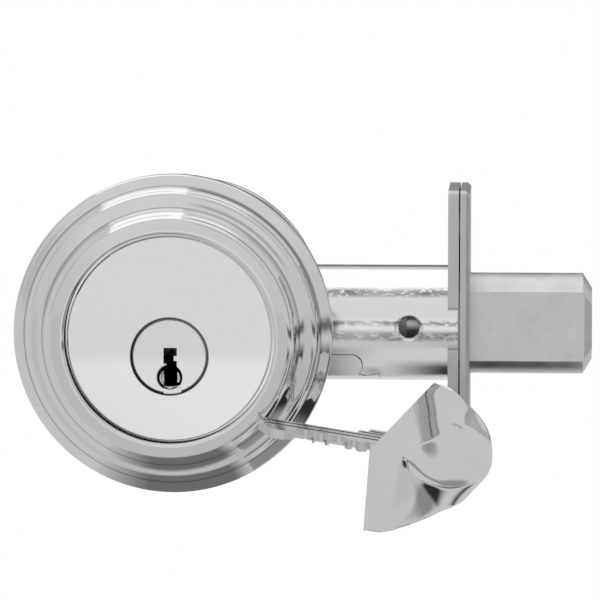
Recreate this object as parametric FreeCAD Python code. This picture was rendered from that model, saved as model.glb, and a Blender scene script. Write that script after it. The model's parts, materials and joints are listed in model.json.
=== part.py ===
import FreeCAD, Part
import math
import os

os.makedirs("parts", exist_ok=True)

# Double cylinder deadbolt, millimetres.
# +X runs along the bolt towards the door edge, -Y is outdoors, +Y indoors, +Z up.
# The origin is the middle of the cross bore, half way through the door.

V = FreeCAD.Vector

# --- door and overall sizes -------------------------------------------------
DOOR = 44.45            # door thickness
BACKSET = 60.325        # bore centre to the front of the faceplate
THROW = 25.4            # bolt projection when locked
PLUG_Z = -3.65          # key and tailpiece axis below the bore centre
RUN = 0.06              # running fit, radial
GAP = 0.3               # clearance between pieces that pass each other
SEAT = 0.02             # pieces that rest on each other

DOOR_FACE = DOOR / 2

# --- trim rings and cylinders -----------------------------------------------
RING_R = 32.7           # outdoor trim ring
INNER_RING_R = 28.4     # indoor trim ring
FACE_R = 20.87          # polished cylinder face
FACE_T = 3.4
OUT_FACE_H = 11.7       # cylinder face above the door, outdoors
IN_FACE_H = 9.5         # and indoors
WEB_R = 19.6            # ring shoulder the cylinder face bears on
WEB_T = 1.5
BODY_REAR = 9.6         # rear of either cylinder body from the door middle
PLATE_T = 1.5           # indoor mounting plate
PLATE_R = 28.2

PLUG_R = 6.35
PLUG_HEAD_R = 7.82
CLIP_R = PLUG_R - 1.05   # groove for the spring clip
PLUG_HEAD_T = 2.2
PLUG_REAR = 8.0
HOUSING_R = 9.4
TOWER_W = 7.8
TOWER_TOP = 15.6
PIN_R = 1.44
PIN_BORE_R = 1.475
PIN_PITCH = 3.6
PIN_FIRST = 4.4         # first pin behind the cylinder face
PIN_COUNT = 5
KEY_CUTS = (1.4, 0.8, 2.6, 1.8, 3.0)   # pin tip heights above the plug axis
DRIVER_L = 4.5

POST_X = 15.6           # mounting screws, either side of the tailpiece
POST_R = 3.1
SCREW_R = 2.05
SCREW_HEAD_R = 3.9
SCREW_TAP = 16.0        # thread engaged beyond the rear of the outdoor body

# --- bolt ---------------------------------------------------------------------
BOLT_R = 10.5
BARREL_WALL = 1.15
BARREL_R = BOLT_R + 0.4 + BARREL_WALL
BARREL_REAR = 20.0
BOLT_HALF_W = 0.7257 * BOLT_R   # flats on the sides of the bolt
BOLT_CHAMFER = 1.6
TIP_TAPER = 0.29 * BOLT_R  # cone on the round sides of the tip, radial
TIP_TAPER_L = 1.9       # and along the bolt
HEAD_REAR = BACKSET - 9.7
SHANK_R = 5.2
SHANK_REAR = HEAD_REAR - 3.4
SIGHT_X = BACKSET - 12.45   # round hole in the side of the barrel
ROLLER_R = 3.0
FACEPLATE_T = 1.9
BACKPLATE_T = 2.2
PLATE_GAP = 0.3
PLATE_W = 25.4
PLATE_H = 57.15
SCREW_SPACING = 41.3    # faceplate screw holes
SCREW_HOLE_R = 2.3

CASE_T = 1.3
CASE_IN = 5.3           # inner faces of the case plates
CASE_BOTTOM = -10.2
CASE_TOP = 9.4
CASE_REAR = -11.0
CRANK = 14.6            # crank pin radius
CRANK_PIN_R = 1.7
CRANK_T = 3.2
SLOT_PLAY = 0.75        # crank pin in the tail's upright slots
CRANK_REACH = THROW / 2 - 0.52
CRANK_SWING = math.degrees(math.asin(CRANK_REACH / CRANK))   # either side of upright
CHEEK_IN = 2.0
CHEEK_OUT = 5.0
CHEEK_Z0 = 1.05
CHEEK_Z1 = 11.9
TAIL_T = 3.0
TAIL_Z0 = 5.6           # tail bar, above the crank's sweep
TAIL_Z1 = BOLT_R - 1.3

TAIL_W = 6.0            # tailpiece blade
TAIL_BLADE_T = 1.8
TAIL_END = 11.0         # each end from the door middle

# --- removable thumbturn key --------------------------------------------------
KEY_X = RING_R + 14.45     # the key is held in front of the ring, clear of it
KEY_Y = -DOOR_FACE - 30.155
GRIP_BASE = V(KEY_X, KEY_Y, -21.01)     # middle of the grip's flat end
GRIP_AXIS = V(0.948, -0.2766, -0.1579)  # square to that flat end, outward
GRIP_EDGE = V(-0.3082, -0.9215, -0.2363)  # along the length of the flat end
GRIP_L = 38.1
GRIP_W = 17.5
GRIP_FOOT = 6.2
GRIP_H = 19.1
GRIP_TWIST = 26.0       # turn of the ridge against the foot, degrees
BLADE_BASE = V(KEY_X + 1.42, KEY_Y + 4.94, -20.64)   # where the blade leaves the grip
BLADE_AXIS = V(0.9557, -0.2716, -0.1132)  # from the blade tip to the grip
BLADE_EDGE = V(-0.2832, -0.9534, -0.1036)  # across the blade, towards its cuts
BLADE_L = 32.0
BLADE_H = 7.4
BLADE_T = 1.95
BLADE_ROOT = 8.0        # blade let into the grip
BLADE_PIN_R = 1.0
BLADE_PIN_L = 7.6


def cyl_y(r, y0, y1, x=0.0, z=0.0):
    """Cylinder along Y between two heights."""
    return Part.makeCylinder(r, abs(y1 - y0), V(x, min(y0, y1), z), V(0, 1, 0))


def cyl_x(r, x0, x1, y=0.0, z=0.0):
    return Part.makeCylinder(r, x1 - x0, V(x0, y, z), V(1, 0, 0))


def box(x0, x1, y0, y1, z0, z1):
    return Part.makeBox(x1 - x0, y1 - y0, z1 - z0, V(x0, y0, z0))


def plate_xz(points, y0, y1):
    """Flat plate drawn in the XZ plane."""
    wire = Part.makePolygon([V(x, y0, z) for x, z in points + [points[0]]])
    return Part.Face(wire).extrude(V(0, y1 - y0, 0))


def spun(start, steps, side=-1):
    """Turned piece about Y: radius and height above the door face, lines and rolls."""
    def at(r, h):
        return V(r, side * (DOOR_FACE + h), 0)
    edges = []
    here = at(*start)
    for step in steps + [start]:
        if len(step) == 4:
            there = at(step[2], step[3])
            edges.append(Part.Arc(here, at(step[0], step[1]), there).toShape())
        else:
            there = at(*step)
            edges.append(Part.makeLine(here, there))
        here = there
    return Part.Face(Part.Wire(edges)).revolve(V(0, 0, 0), V(0, 1, 0), 360)


def save(node, shapes):
    """Write one node; several loose solids share the node as a compound."""
    solids = shapes if isinstance(shapes, list) else [shapes]
    clean = [s.removeSplitter() for s in solids]
    shape = clean[0] if len(clean) == 1 else Part.makeCompound(clean)
    shape.exportStep("parts/" + node + ".step")


def indoors(shape):
    return shape.mirror(V(0, 0, 0), V(0, 1, 0))


# --- trim rings ---------------------------------------------------------------
def outdoor_ring():
    web = OUT_FACE_H - FACE_T - RUN
    r = RING_R
    lip = FACE_R + 0.48
    steps = [
        (r, 0.5), (r, 1.9), (r - 0.6, 3.7, r - 1.8, 4.5),
        (r - 2.1, 4.4), (r - 2.4, 5.6), (r - 3.3, 7.5, r - 5.5, 8.5),
        (r - 5.9, 8.4), (r - 6.3, 9.8), (r - 7.2, 11.3, r - 9.3, 12.9),
        (r - 10.4, 13.9), (lip + 0.35, 13.9), (lip, 13.5),
        (lip, web), (WEB_R, web), (WEB_R, web - WEB_T), (24.4, web - WEB_T),
        (r - 7.5, 6.0), (r - 4.2, 4.1), (r - 1.7, 2.4), (r - 1.7, 0.0),
    ]
    return spun((r - 0.5, 0.0), steps)


def indoor_ring():
    web = IN_FACE_H - FACE_T - RUN
    r = INNER_RING_R
    lip = FACE_R + 0.48
    foot = PLATE_T + SEAT
    steps = [
        (r, foot + 0.4), (r, 3.6), (r - 0.5, 5.0, r - 1.9, 5.8),
        (r - 2.3, 6.9), (r - 3.1, 8.4, r - 4.6, 9.2),
        (r - 6.0, 10.6), (lip + 0.35, 10.9), (lip, 10.5),
        (lip, web), (WEB_R, web), (WEB_R, web - WEB_T), (24.0, web - WEB_T),
        (r - 2.4, 3.4), (r - 1.5, 2.4), (r - 1.5, foot),
    ]
    return spun((r - 0.4, foot), steps, side=1)


save("out_trim_ring", outdoor_ring())
save("in_trim_ring", indoor_ring())


# --- cylinders, drawn outdoors and mirrored for indoors -----------------------
def pin_rows(front):
    return [-front + PIN_FIRST + PIN_PITCH * i for i in range(PIN_COUNT)]


def cylinder_body(front, screw_through):
    back = -front + FACE_T
    body = cyl_y(FACE_R, -front, back)
    edge = [e for e in body.Edges if abs(e.BoundBox.YMax + front) < 0.01 and e.Length > 50]
    body = body.makeChamfer(0.35, edge)
    body = body.fuse(cyl_y(HOUSING_R, back, -BODY_REAR, z=PLUG_Z))
    tower = box(-TOWER_W / 2, TOWER_W / 2, back, -BODY_REAR, PLUG_Z, TOWER_TOP)
    body = body.fuse(tower)
    for side in (-1, 1):
        body = body.fuse(cyl_y(POST_R, back, -BODY_REAR, x=side * POST_X, z=PLUG_Z))
    rib = box(-POST_X, POST_X, back, -BODY_REAR - 6.0, PLUG_Z - 1.2, PLUG_Z + 1.2)
    body = body.fuse(rib)
    body = body.cut(cyl_y(PLUG_R + RUN, -front - 1, 0, z=PLUG_Z))
    head = cyl_y(PLUG_HEAD_R + RUN, -front - 1, -front + PLUG_HEAD_T + RUN, z=PLUG_Z)
    body = body.cut(head)
    for y in pin_rows(front):
        height = TOWER_TOP - PLUG_Z
        body = body.cut(Part.makeCylinder(PIN_BORE_R, height, V(0, y, PLUG_Z)))
    body = body.cut(box(-2.1, 2.1, back, -BODY_REAR + 1, TOWER_TOP - 0.8, TOWER_TOP + 1))
    for side in (-1, 1):
        x = side * POST_X
        if screw_through:
            body = body.cut(cyl_y(SCREW_R + 0.2, -front - 1, 0, x=x, z=PLUG_Z))
            sink = Part.makeCone(SCREW_HEAD_R + 0.1, SCREW_R + 0.2, 2.2,
                                 V(x, -front, PLUG_Z), V(0, 1, 0))
            body = body.cut(sink)
        else:
            depth = -BODY_REAR - SCREW_TAP - 1.0
            body = body.cut(cyl_y(SCREW_R + RUN, depth, 0, x=x, z=PLUG_Z))
    if not screw_through:
        for side in (-1, 1):
            hole = cyl_y(0.96, back + 1.0, 0, x=side * 5.9, z=PLUG_Z + 5.2)
            body = body.cut(hole)
    return body


def plug(front):
    shape = cyl_y(PLUG_R, -front + 1, -PLUG_REAR, z=PLUG_Z)
    head = cyl_y(PLUG_HEAD_R, -front, -front + PLUG_HEAD_T, z=PLUG_Z)
    rim = [e for e in head.Edges if abs(e.BoundBox.YMax + front) < 0.01]
    shape = shape.fuse(head.makeChamfer(0.5, [rim[0]]))
    # keyway: upper slot, wider foot, a shallow channel to the rim, a round relief
    # and a rib down each side
    deep = -TAIL_END - 0.4
    slot = box(-1.19, 1.52, -front - 1, deep, PLUG_Z - 6.6, PLUG_Z + 1.75)
    slot = slot.fuse(box(-1.19, 2.36, -front - 1, deep, PLUG_Z - 6.6, PLUG_Z - 5.4))
    slot = slot.fuse(box(-1.19, 2.36, -front - 1, -front + 0.6, PLUG_Z - 8.5, PLUG_Z - 6.5))
    slot = slot.cut(box(0.9, 1.6, -front - 2, deep + 1, PLUG_Z - 0.9, PLUG_Z + 0.1))
    slot = slot.cut(box(-1.3, -0.6, -front - 2, deep + 1, PLUG_Z - 2.6, PLUG_Z - 1.5))
    shape = shape.cut(slot)
    relief = Part.makeSphere(2.7, V(0.1, -front - 0.9, PLUG_Z - 4.3))
    shape = shape.cut(relief)
    for y in pin_rows(front):
        shape = shape.cut(Part.makeCylinder(PIN_BORE_R, 8.0, V(0, y, PLUG_Z + 0.2)))
    # slot for the tailpiece, and the groove for the retaining clip
    half = TAIL_W / 2 + GAP
    thick = TAIL_BLADE_T / 2 + GAP
    shape = shape.cut(box(-thick, thick, -TAIL_END - 0.2, 0, PLUG_Z - half, PLUG_Z + half))
    groove = cyl_y(PLUG_R + 1, -9.58, -8.68, z=PLUG_Z).cut(cyl_y(CLIP_R, -10, -8, z=PLUG_Z))
    return shape.cut(groove)


def key_pins(front):
    pins = []
    for y, tip in zip(pin_rows(front), KEY_CUTS):
        top = PLUG_R - 0.22
        cone = Part.makeCone(0.5, PIN_R, 0.9, V(0, y, PLUG_Z + tip))
        stem = Part.makeCylinder(PIN_R, top - tip - 0.9, V(0, y, PLUG_Z + tip + 0.9))
        pins.append(cone.fuse(stem))
    return pins


def driver_pins(front):
    z = PLUG_Z + PLUG_R + RUN + 0.05
    return [Part.makeCylinder(PIN_R, DRIVER_L, V(0, y, z)) for y in pin_rows(front)]


def pin_springs(front):
    z0 = PLUG_Z + PLUG_R + RUN + 0.05 + DRIVER_L + 0.2
    z1 = TOWER_TOP - 0.8 - 0.2
    springs = []
    for y in pin_rows(front):
        helix = Part.makeHelix((z1 - z0) / 6.0, z1 - z0, 1.1)
        ring = Part.Wire(Part.makeCircle(0.16, V(1.1, 0, 0), V(0, 1, 0)))
        coil = Part.Wire(helix).makePipeShell([ring], True, True)
        springs.append(coil.translated(V(0, y, z0)))
    return springs


def chamber_cap(front):
    back = -front + FACE_T + 0.05
    return box(-2.08, 2.08, back, -BODY_REAR - 0.1, TOWER_TOP - 0.78, TOWER_TOP)


def plug_clip():
    ring = cyl_y(7.6, -9.53, -8.73, z=PLUG_Z).cut(cyl_y(CLIP_R + 0.03, -10, -8, z=PLUG_Z))
    return ring.cut(box(-2.2, 2.2, -10, -8, PLUG_Z - 9, PLUG_Z))


OUT_FRONT = DOOR_FACE + OUT_FACE_H
IN_FRONT = DOOR_FACE + IN_FACE_H

save("out_cylinder_body", cylinder_body(OUT_FRONT, False))
save("in_cylinder_body", indoors(cylinder_body(IN_FRONT, True)))
for name, front in (("out", OUT_FRONT), ("in", IN_FRONT)):
    place = indoors if name == "in" else (lambda s: s)
    save(name + "_plug", place(plug(front)))
    save(name + "_key_pins", [place(s) for s in key_pins(front)])
    save(name + "_driver_pins", [place(s) for s in driver_pins(front)])
    save(name + "_pin_springs", [place(s) for s in pin_springs(front)])
    save(name + "_chamber_cap", place(chamber_cap(front)))
    save(name + "_plug_clip", place(plug_clip()))

drill = [cyl_y(0.9, -OUT_FRONT + FACE_T + 1.1, -12.0, x=s * 5.9, z=PLUG_Z + 5.2)
         for s in (-1, 1)]
save("out_drill_pins", drill)

# tailpiece: one flat bar from the outdoor plug, through the bolt hub, into the indoor plug
bar = box(-TAIL_BLADE_T / 2, TAIL_BLADE_T / 2, -TAIL_END, TAIL_END,
          PLUG_Z - TAIL_W / 2, PLUG_Z + TAIL_W / 2)
save("tailpiece", bar)

# indoor mounting plate and the two long screws
plate = cyl_y(PLATE_R, DOOR_FACE, DOOR_FACE + PLATE_T)
plate = plate.cut(cyl_y(WEB_R + 0.2, DOOR_FACE - 1, DOOR_FACE + PLATE_T + 1))
save("in_mount_plate", plate)


def mount_screw(x):
    tip = -BODY_REAR - SCREW_TAP
    screw = cyl_y(SCREW_R, tip, IN_FRONT - 1.0, x=x, z=PLUG_Z)
    head = Part.makeCone(SCREW_R, SCREW_HEAD_R, 2.1,
                         V(x, IN_FRONT - 2.15, PLUG_Z), V(0, 1, 0))
    screw = screw.fuse(head)
    for a in (0, 90):
        cross = box(-2.0, 2.0, IN_FRONT - 1.3, IN_FRONT + 1, -0.45, 0.45)
        cross.rotate(V(0, 0, 0), V(0, 1, 0), a + 45)
        screw = screw.cut(cross.translated(V(x, 0, PLUG_Z)))
    return screw


save("mount_screws", [mount_screw(-POST_X), mount_screw(POST_X)])


# --- bolt ---------------------------------------------------------------------
PLATE_FRONT = BACKSET
FACE_X0 = BACKSET - FACEPLATE_T
BACK_X1 = FACE_X0 - PLATE_GAP
BACK_X0 = BACK_X1 - BACKPLATE_T


def bolt_section(r, half_w, x0, x1):
    return cyl_x(r, x0, x1).common(box(x0, x1, -half_w, half_w, -r - 1, r + 1))


def plate_blank(x0, x1):
    blank = box(x0, x1, -PLATE_W / 2, PLATE_W / 2, -PLATE_H / 2, PLATE_H / 2)
    upright = [e for e in blank.Edges if abs(e.BoundBox.XLength - (x1 - x0)) < 1e-6]
    blank = blank.makeFillet(1.6, upright)
    return blank.cut(bolt_section(BOLT_R + GAP, BOLT_HALF_W + GAP, x0 - 1, x1 + 1))


def plate_holes(shape, r, sink):
    for side in (-1, 1):
        z = side * SCREW_SPACING / 2
        shape = shape.cut(cyl_x(r, BACK_X0 - 1, PLATE_FRONT + 1, z=z))
        if sink:
            cone = Part.makeCone(r + 1.5, r, 1.3,
                                 V(PLATE_FRONT, 0, z), V(-1, 0, 0))
            shape = shape.cut(cone)
    return shape


face = plate_blank(FACE_X0, PLATE_FRONT)
outline = [e for e in face.Edges
           if abs(e.BoundBox.XMin - PLATE_FRONT) < 1e-6
           and max(abs(e.BoundBox.ZMin), abs(e.BoundBox.ZMax)) > PLATE_H / 2 - 2
           and e.BoundBox.XLength < 1e-6]
face = face.makeChamfer(0.7, outline)
save("faceplate", plate_holes(face, SCREW_HOLE_R, True))

NOTCH_H = 8.8
TAB_R = BARREL_R - 1.0
back = plate_holes(plate_blank(BACK_X0, BACK_X1), SCREW_HOLE_R + 0.6, False)
for side in (-1, 1):
    notch = box(BACK_X0 - 1, BACK_X1 + 1, TAB_R - 0.15, PLATE_W, -NOTCH_H / 2, NOTCH_H / 2)
    back = back.cut(notch if side > 0 else indoors(notch))
save("backplate", back)


def cradle_region(grow):
    """Lower cut-out of the barrel wall, drawn on the side view and cut through."""
    g = grow
    low = -BARREL_R - 2
    top = -0.47 * BARREL_R + g
    x = BACKSET - 22.0 + g
    pts = [(BARREL_REAR - 1, top), (x - 1.9, top), (x - 1.1, top - 0.35), (x - 0.4, top - 1.1),
           (x - 0.1, top - 2.1), (x - 0.15, top - 3.2), (x - 0.9, top - 4.5),
           (x + 0.6, top - 5.0), (x + 3.3, top - 4.3), (x + 3.3, low), (BARREL_REAR - 1, low)]
    return plate_xz(pts, -BARREL_R - 2, BARREL_R + 2)


def barrel_tube(x0, x1):
    return cyl_x(BARREL_R, x0, x1).cut(cyl_x(BARREL_R - BARREL_WALL, x0 - 1, x1 + 1))


barrel = barrel_tube(BARREL_REAR, BACK_X0 - SEAT).cut(cradle_region(0.0))
tabs = barrel_tube(BACK_X0 - 1.5, BACK_X1 - 0.2).common(
    box(BACK_X0 - 1.5, BACK_X1, -20, 20, -NOTCH_H / 2 + 0.3, NOTCH_H / 2 - 0.3))
tabs = tabs.cut(box(0, 90, -TAB_R, TAB_R, -20, 20))
barrel = barrel.fuse(tabs)
barrel = barrel.cut(cyl_y(2.15, -20, 0, x=SIGHT_X, z=0))
barrel = barrel.cut(Part.makeCone(3.0, 2.15, 0.85, V(SIGHT_X, -BARREL_R, 0), V(0, 1, 0)))
save("bolt_barrel", barrel)
cradle = barrel_tube(BARREL_REAR, BACKSET - 16).common(cradle_region(-0.15))
save("barrel_cradle", cradle)

head = bolt_section(BOLT_R, BOLT_HALF_W, HEAD_REAR, BACKSET + THROW)
tip_edges = [e for e in head.Edges if e.BoundBox.XMin > BACKSET + THROW - 0.01]
head = head.makeChamfer(BOLT_CHAMFER, tip_edges)
taper = Part.makeCone(BOLT_R + 0.05, BOLT_R - TIP_TAPER, TIP_TAPER_L,
                      V(BACKSET + THROW - TIP_TAPER_L, 0, 0), V(1, 0, 0))
head = head.common(cyl_x(BOLT_R + 2, HEAD_REAR - 1, BACKSET + THROW - TIP_TAPER_L).fuse(taper))
head = head.fuse(cyl_x(SHANK_R, SHANK_REAR, HEAD_REAR + 1))
head = head.cut(cyl_x(ROLLER_R + RUN, SHANK_REAR - 1, BACKSET + THROW - 3.5))
tongue_cut = TAIL_T / 2 + SEAT
head = head.cut(box(SHANK_REAR - 1, HEAD_REAR + 1.4, -tongue_cut, tongue_cut, -4.82, 4.82))
RIVETS = [(SHANK_REAR + 1.7, 4.0), (SHANK_REAR + 1.7, -4.0)]
for x, z in RIVETS:
    head = head.cut(cyl_y(0.72, -9, 9, x=x, z=z))
save("bolt_head", head)
save("bolt_roller_pin", cyl_x(ROLLER_R, HEAD_REAR + 1.9, BACKSET + THROW - 4.0))

# tail: a flat bar let into the shank, forked at the rear around the crank
slot_x = THROW / 2
half_slot = CRANK_PIN_R + SLOT_PLAY
tail = plate_xz([(slot_x + 5.2, TAIL_Z0), (SHANK_REAR - 5.7, TAIL_Z0), (SHANK_REAR - 2.7, -4.8),
                 (HEAD_REAR + 1.3, -4.8), (HEAD_REAR + 1.3, 4.8),
                 (SHANK_REAR - 0.2, 4.8), (SHANK_REAR - 3.7, TAIL_Z1), (slot_x + 5.2, TAIL_Z1)],
                -TAIL_T / 2, TAIL_T / 2)
block = box(slot_x - 4.8, slot_x + 7.0, -CHEEK_OUT, CHEEK_OUT, CHEEK_Z0, CHEEK_Z1)
block = block.cut(box(slot_x - 6, slot_x + 5.2, -CHEEK_IN, CHEEK_IN, 0, CHEEK_Z1 + 1))
block = block.cut(box(slot_x, slot_x + 9, -CHEEK_IN, CHEEK_IN, 0, TAIL_Z0))
block = block.cut(box(slot_x - half_slot, slot_x + half_slot, -4.25, 4.25, 0, CHEEK_Z1 + 1))
tail = tail.fuse(block)
for x, z in RIVETS:
    tail = tail.cut(cyl_y(0.72, -9, 9, x=x, z=z))
save("bolt_tail", tail)
rivet_l = math.sqrt(SHANK_R ** 2 - 4.0 ** 2) - 0.1
save("bolt_rivets", [cyl_y(0.7, -rivet_l, rivet_l, x=x, z=z) for x, z in RIVETS])

# crank: hub with a slot for the tailpiece, arm and cross pin, drawn upright then swung
hub = cyl_y(5.6, -CRANK_T / 2, CRANK_T / 2)
hub = hub.fuse(cyl_y(4.3, -CASE_IN - CASE_T, CASE_IN + CASE_T))
arm = box(-2.6, 2.6, -CRANK_T / 2, CRANK_T / 2, 0, CRANK)
crank = hub.fuse(arm).fuse(cyl_y(2.6, -CRANK_T / 2, CRANK_T / 2, z=CRANK))
crank = crank.fuse(cyl_y(CRANK_PIN_R, -4.0, 4.0, z=CRANK))
crank.rotate(V(0, 0, 0), V(0, 1, 0), CRANK_SWING)
slot_t = TAIL_BLADE_T / 2 + GAP
slot_h = TAIL_W / 2 + GAP
crank = crank.cut(box(-slot_t, slot_t, -9, 9, -slot_h, slot_h))
save("bolt_crank", crank.translated(V(0, 0, PLUG_Z)))


def case_plate():
    tongue = math.sqrt((BARREL_R - BARREL_WALL) ** 2 - (CASE_IN + CASE_T) ** 2) - 0.8
    plate = plate_xz([(CASE_REAR, CASE_BOTTOM + 3), (CASE_REAR + 3, CASE_BOTTOM),
                      (BARREL_REAR - GAP, CASE_BOTTOM), (BARREL_REAR - GAP, -tongue),
                      (BARREL_REAR + 1.2, -tongue), (BARREL_REAR + 1.2, tongue),
                      (BARREL_REAR - GAP, tongue), (BARREL_REAR - GAP, CASE_TOP),
                      (CASE_REAR + 3, CASE_TOP), (CASE_REAR, CASE_TOP - 3)],
                     -CASE_IN - CASE_T, -CASE_IN)
    plate = plate.cut(cyl_y(4.3 + RUN, -9, 0, z=PLUG_Z))
    plate = plate.cut(cyl_y(SCREW_R + 0.5, -9, 0, x=POST_X, z=PLUG_Z))
    for x in CASE_RIVETS:
        plate = plate.cut(cyl_y(0.9 + SEAT, -9, 0, x=x, z=-8.3))
    return plate


CASE_RIVETS = (-6.8, 7.6, 17.8)
save("case_plate_out", case_plate())
save("case_plate_in", indoors(case_plate()))
spacers = []
for x in CASE_RIVETS:
    body = cyl_y(1.5, -CASE_IN + SEAT, CASE_IN - SEAT, x=x, z=-8.3)
    body = body.fuse(cyl_y(0.9, -CASE_IN - CASE_T, CASE_IN + CASE_T, x=x, z=-8.3))
    for side in (-1, 1):
        y = side * (CASE_IN + CASE_T + SEAT)
        body = body.fuse(cyl_y(1.5, y, y + side * 0.6, x=x, z=-8.3))
        body = body.fuse(cyl_y(0.9, y - side * 0.5, y + side * 0.3, x=x, z=-8.3))
    spacers.append(body)
save("case_rivets", spacers)


# --- removable thumbturn key, drawn flat and then placed ------------------------
# local axes: X from blade to grip, Y along the blade's height, Z through its thickness
def rounded_rect(half_l, half_w, r, per_side=6, per_corner=5):
    """Evenly walked points of a rounded rectangle in the local YZ plane."""
    pts = []
    corners = [(1, 1, 0), (-1, 1, 90), (-1, -1, 180), (1, -1, 270)]
    for i, (sy, sz, start) in enumerate(corners):
        cy, cz = sy * (half_l - r), sz * (half_w - r)
        for j in range(per_corner):
            a = math.radians(start + 90.0 * j / (per_corner - 1))
            pts.append((cy + r * math.cos(a), cz + r * math.sin(a)))
        ny, nz, nstart = corners[(i + 1) % 4]
        a = math.radians(nstart)
        end = (ny * (half_l - r) + r * math.cos(a), nz * (half_w - r) + r * math.sin(a))
        here = pts[-1]
        for j in range(1, per_side):
            f = j / per_side
            pts.append((here[0] + (end[0] - here[0]) * f, here[1] + (end[1] - here[1]) * f))
    return pts


def grip_section(h):
    t = max(0.0, (h - GRIP_FOOT) / (GRIP_H - GRIP_FOOT))
    half_l = GRIP_L / 2 * math.sqrt(1 - 0.80 * t ** 1.6)
    half_w = GRIP_W / 2 * (1 - 0.78 * t ** 0.8)
    turn = math.radians(GRIP_TWIST) * t ** 0.8
    corner = min(0.7 + 1.5 * t, half_w * 0.85)
    pts = [V(h, y * math.cos(turn) - z * math.sin(turn), y * math.sin(turn) + z * math.cos(turn))
           for y, z in rounded_rect(half_l, half_w, corner)]
    curve = Part.BSplineCurve()
    curve.interpolate(pts, PeriodicFlag=True)
    return Part.Wire(curve.toShape())


rise = GRIP_H - GRIP_FOOT
heights = [0.0, GRIP_FOOT] + [GRIP_FOOT + rise * (i / 9.0) ** 1.2 for i in range(1, 10)]
grip = Part.makeLoft([grip_section(h) for h in heights], True, True)


def placed(shape, origin, axis, edge):
    """Shape drawn along X with its edge along Y, set down at its place."""
    along = V(axis).normalize()
    side = along.cross(edge).normalize()
    across = side.cross(along)
    return shape.transformed(FreeCAD.Matrix(along.x, across.x, side.x, origin.x,
                                            along.y, across.y, side.y, origin.y,
                                            along.z, across.z, side.z, origin.z,
                                            0, 0, 0, 1))


def cut_profile(x, depth):
    """Flat-bottomed key cut with sloping sides."""
    flat = 0.35
    low, high = BLADE_H / 2 - depth, BLADE_H / 2 + 1
    reach = flat + depth + 1
    points = [(x - flat, low), (x + flat, low), (x + reach, high), (x - reach, high)]
    wire = Part.makePolygon([V(a, b, -3) for a, b in points + points[:1]])
    return Part.Face(wire).extrude(V(0, 0, 6))


blade = box(-BLADE_L, BLADE_ROOT, -BLADE_H / 2, BLADE_H / 2, -BLADE_T / 2, BLADE_T / 2)
half_t = BLADE_T / 2
for start, rise in ((-12.0, 2.0), (-10.3, 3.9)):
    shoulder = box(start, -0.8, -BLADE_H / 2 - rise, 0, -half_t, half_t)
    blade = blade.fuse(shoulder)
nose = [(0, 0), (4.4, 0), (0, -4.8)]
wire = Part.makePolygon([V(a - BLADE_L, b + BLADE_H / 2, -3) for a, b in nose + nose[:1]])
blade = blade.cut(Part.Face(wire).extrude(V(0, 0, 6)))
for i, cut in enumerate(KEY_CUTS):
    blade = blade.cut(cut_profile(-5.4 - PIN_PITCH * (i + 0.4), 0.9 + cut * 0.75))
groove = BLADE_T * 0.26
for y0, y1 in ((-6.4, -5.6), (-4.9, -4.2), (-2.9, -2.2), (-0.9, 0.0)):
    blade = blade.cut(box(-BLADE_L - 1, -1.5, y0, y1, -3, -half_t + groove))
blade = blade.cut(box(-BLADE_L - 1, -1.5, 0.9, 2.2, half_t - groove, 3))
pin_place = V(5, 0, -BLADE_PIN_L * 0.65)
blade = blade.removeSplitter()
blade = blade.cut(Part.makeCylinder(BLADE_PIN_R + SEAT, BLADE_PIN_L + 0.4, pin_place, V(0, 0, 1)))
pin = Part.makeCylinder(BLADE_PIN_R, BLADE_PIN_L, pin_place, V(0, 0, 1))
pocket = box(-1, BLADE_ROOT + SEAT, -BLADE_H / 2 - SEAT, BLADE_H / 2 + SEAT,
             -half_t - SEAT, half_t + SEAT)
pocket = pocket.fuse(Part.makeCylinder(BLADE_PIN_R + SEAT, BLADE_PIN_L + 0.2,
                                       pin_place - V(0, 0, 0.1), V(0, 0, 1)))

grip = placed(grip, GRIP_BASE, GRIP_AXIS, GRIP_EDGE)
grip = grip.cut(placed(pocket, BLADE_BASE, BLADE_AXIS, BLADE_EDGE))
blade = placed(blade, BLADE_BASE, BLADE_AXIS, BLADE_EDGE)
pin = placed(pin, BLADE_BASE, BLADE_AXIS, BLADE_EDGE)
for node, shape in (("key_grip", grip), ("key_blade", blade), ("key_cross_pin", pin)):
    save(node, shape)
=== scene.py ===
"""Looks of a double cylinder deadbolt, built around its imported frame."""
import json
import math

import bmesh
import bpy
from bpy.props import FloatProperty, FloatVectorProperty, PointerProperty
from bpy.types import Operator, Panel, PropertyGroup
from mathutils import Matrix, Vector


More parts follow.
